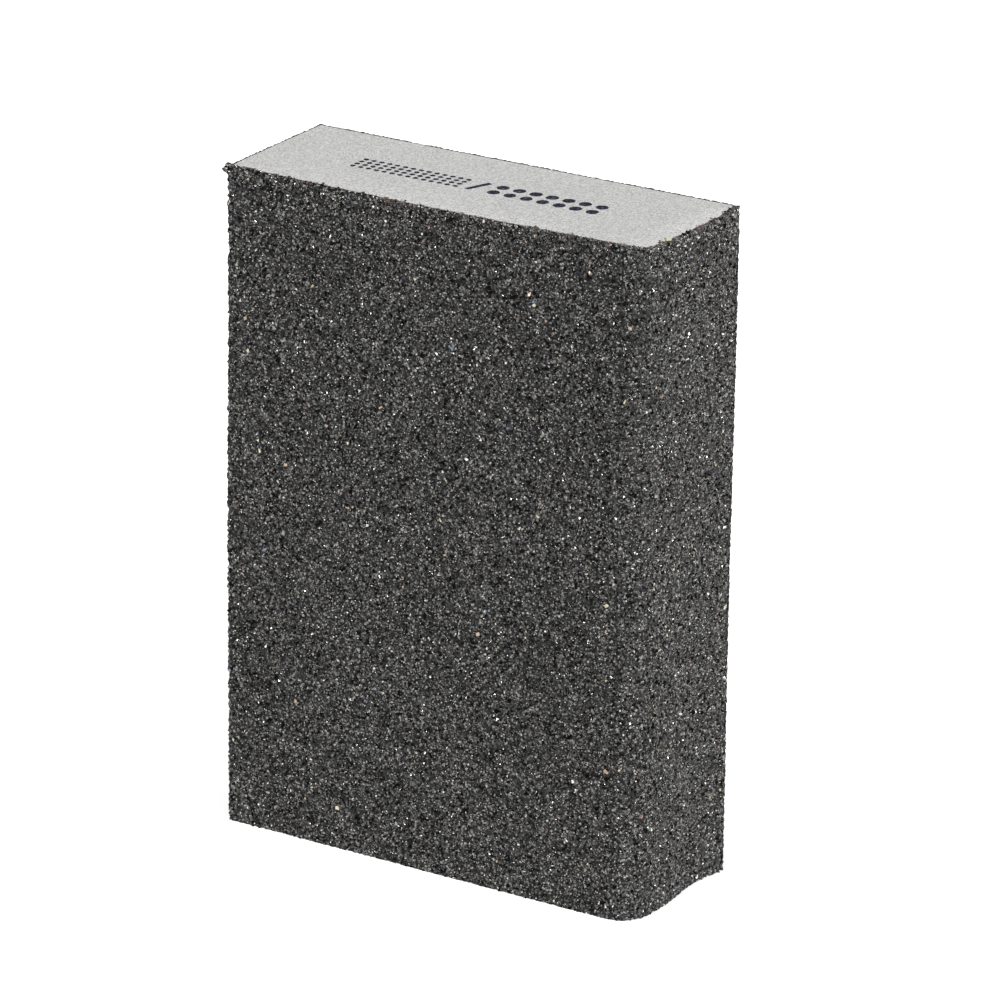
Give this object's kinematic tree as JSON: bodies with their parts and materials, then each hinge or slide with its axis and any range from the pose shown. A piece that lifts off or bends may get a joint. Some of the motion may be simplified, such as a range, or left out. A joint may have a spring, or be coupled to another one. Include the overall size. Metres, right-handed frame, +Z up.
{
  "type": "sanding block",
  "caption": "Rectangular foam sanding block with grain on its two wide faces and two edge faces, one rounded upright corner and bare foam ends.",
  "frame": {"origin": "centre of the bottom cut end, on the surface that the block stands on", "axes": "+Z up along the block's length, +X to the right along its width with the wide front face looking along -Y, +Y along its thickness towards the back"},
  "size_m": [0.07, 0.025, 0.1001],
  "materials": {
    "foam": "matte",
    "bond_resin": "satin",
    "coarse_grain": "satin",
    "medium_grain": "satin",
    "stamp_ink": "matte"
  },
  "bodies": {
    "root": {"foam_core": "foam", "front_bond_coat": "bond_resin", "front_grain_coat": "coarse_grain", "right_bond_coat": "bond_resin", "right_grain_coat": "coarse_grain", "back_bond_coat": "bond_resin", "back_grain_coat": "medium_grain", "left_bond_coat": "bond_resin", "left_grain_coat": "medium_grain", "grade_stamp": "stamp_ink"}
  },
  "joints": []
}
